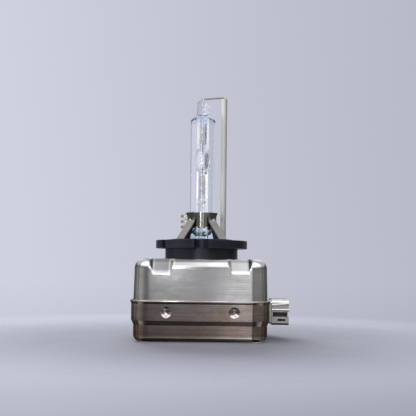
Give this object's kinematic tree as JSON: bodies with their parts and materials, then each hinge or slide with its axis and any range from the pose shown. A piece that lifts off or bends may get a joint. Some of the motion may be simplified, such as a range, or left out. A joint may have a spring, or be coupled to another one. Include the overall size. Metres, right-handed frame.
{
  "type": "headlight bulb",
  "caption": "Gas-discharge headlight bulb with a quartz burner, a black locating flange and an ignition unit in a drawn metal housing with a side power socket.",
  "frame": {"origin": "centre of the cap flange's seating face, on the lamp axis", "axes": "+Z along the lamp axis towards the burner tip, +X towards the power connector, -Y towards the front face of the housing, whose flange notch is the wide one"},
  "size_m": [0.0533, 0.0464, 0.0849],
  "materials": {
    "housing_steel": "bright drawn, tin-plated steel with fine draw lines",
    "cover_steel": "bright drawn, tin-plated steel",
    "shroud_steel": "bright formed sheet steel",
    "socket_plastic": "black moulded plastic",
    "contact_metal": "gold-flashed contact",
    "cap_plastic": "black glass-filled plastic, low sheen",
    "clamp_steel": "rolled stainless strip",
    "quartz": "clear polished quartz",
    "tungsten": "drawn tungsten",
    "molybdenum": "etched molybdenum",
    "halide_salts": "frozen yellow-grey salt",
    "nickel_wire": "drawn nickel wire",
    "ceramic": "off-white sintered alumina",
    "tray_plastic": "dark moulded plastic",
    "bobbin_plastic": "cream moulded plastic",
    "ferrite": "dark grey pressed ferrite",
    "enamelled_copper": "red-brown enamelled copper wire",
    "copper_strip": "bare rolled copper",
    "potting_resin": "dark cast resin",
    "capacitor_case": "dark red dipped case",
    "resistor_body": "blue-grey lacquer",
    "tinned_copper": "tinned strip",
    "cable_rubber": "red silicone insulation"
  },
  "bodies": {
    "root": {"upper_can": "housing_steel", "bottom_cover": "cover_steel", "connector_shroud": "shroud_steel", "connector_insulator": "socket_plastic", "contact_pins": "contact_metal", "cap_base": "cap_plastic", "clamp_ring": "clamp_steel", "clamp_leg_1": "clamp_steel", "clamp_leg_2": "clamp_steel", "clamp_leg_3": "clamp_steel", "clamp_leg_4": "clamp_steel", "outer_envelope": "quartz", "arc_tube": "quartz", "upper_electrode": "tungsten", "lower_electrode": "tungsten", "upper_foil": "molybdenum", "lower_foil": "molybdenum", "upper_lead_wire": "molybdenum", "lower_lead_wire": "molybdenum", "halide_salts": "halide_salts", "return_wire": "nickel_wire", "ceramic_tube": "ceramic", "igniter_tray": "tray_plastic", "transformer_bobbin": "bobbin_plastic", "ferrite_core": "ferrite", "secondary_winding": "enamelled_copper", "primary_winding": "copper_strip", "potting_compound": "potting_resin", "spark_gap_body": "ceramic", "spark_gap_electrodes": "nickel_wire", "ignition_capacitor": "capacitor_case", "capacitor_leads": "tinned_copper", "bleeder_resistor": "resistor_body", "resistor_leads": "tinned_copper", "pulse_bar": "tinned_copper", "lamp_bar": "tinned_copper", "return_bar": "tinned_copper", "hv_lead": "cable_rubber", "crimp_sleeve": "nickel_wire"}
  },
  "joints": []
}
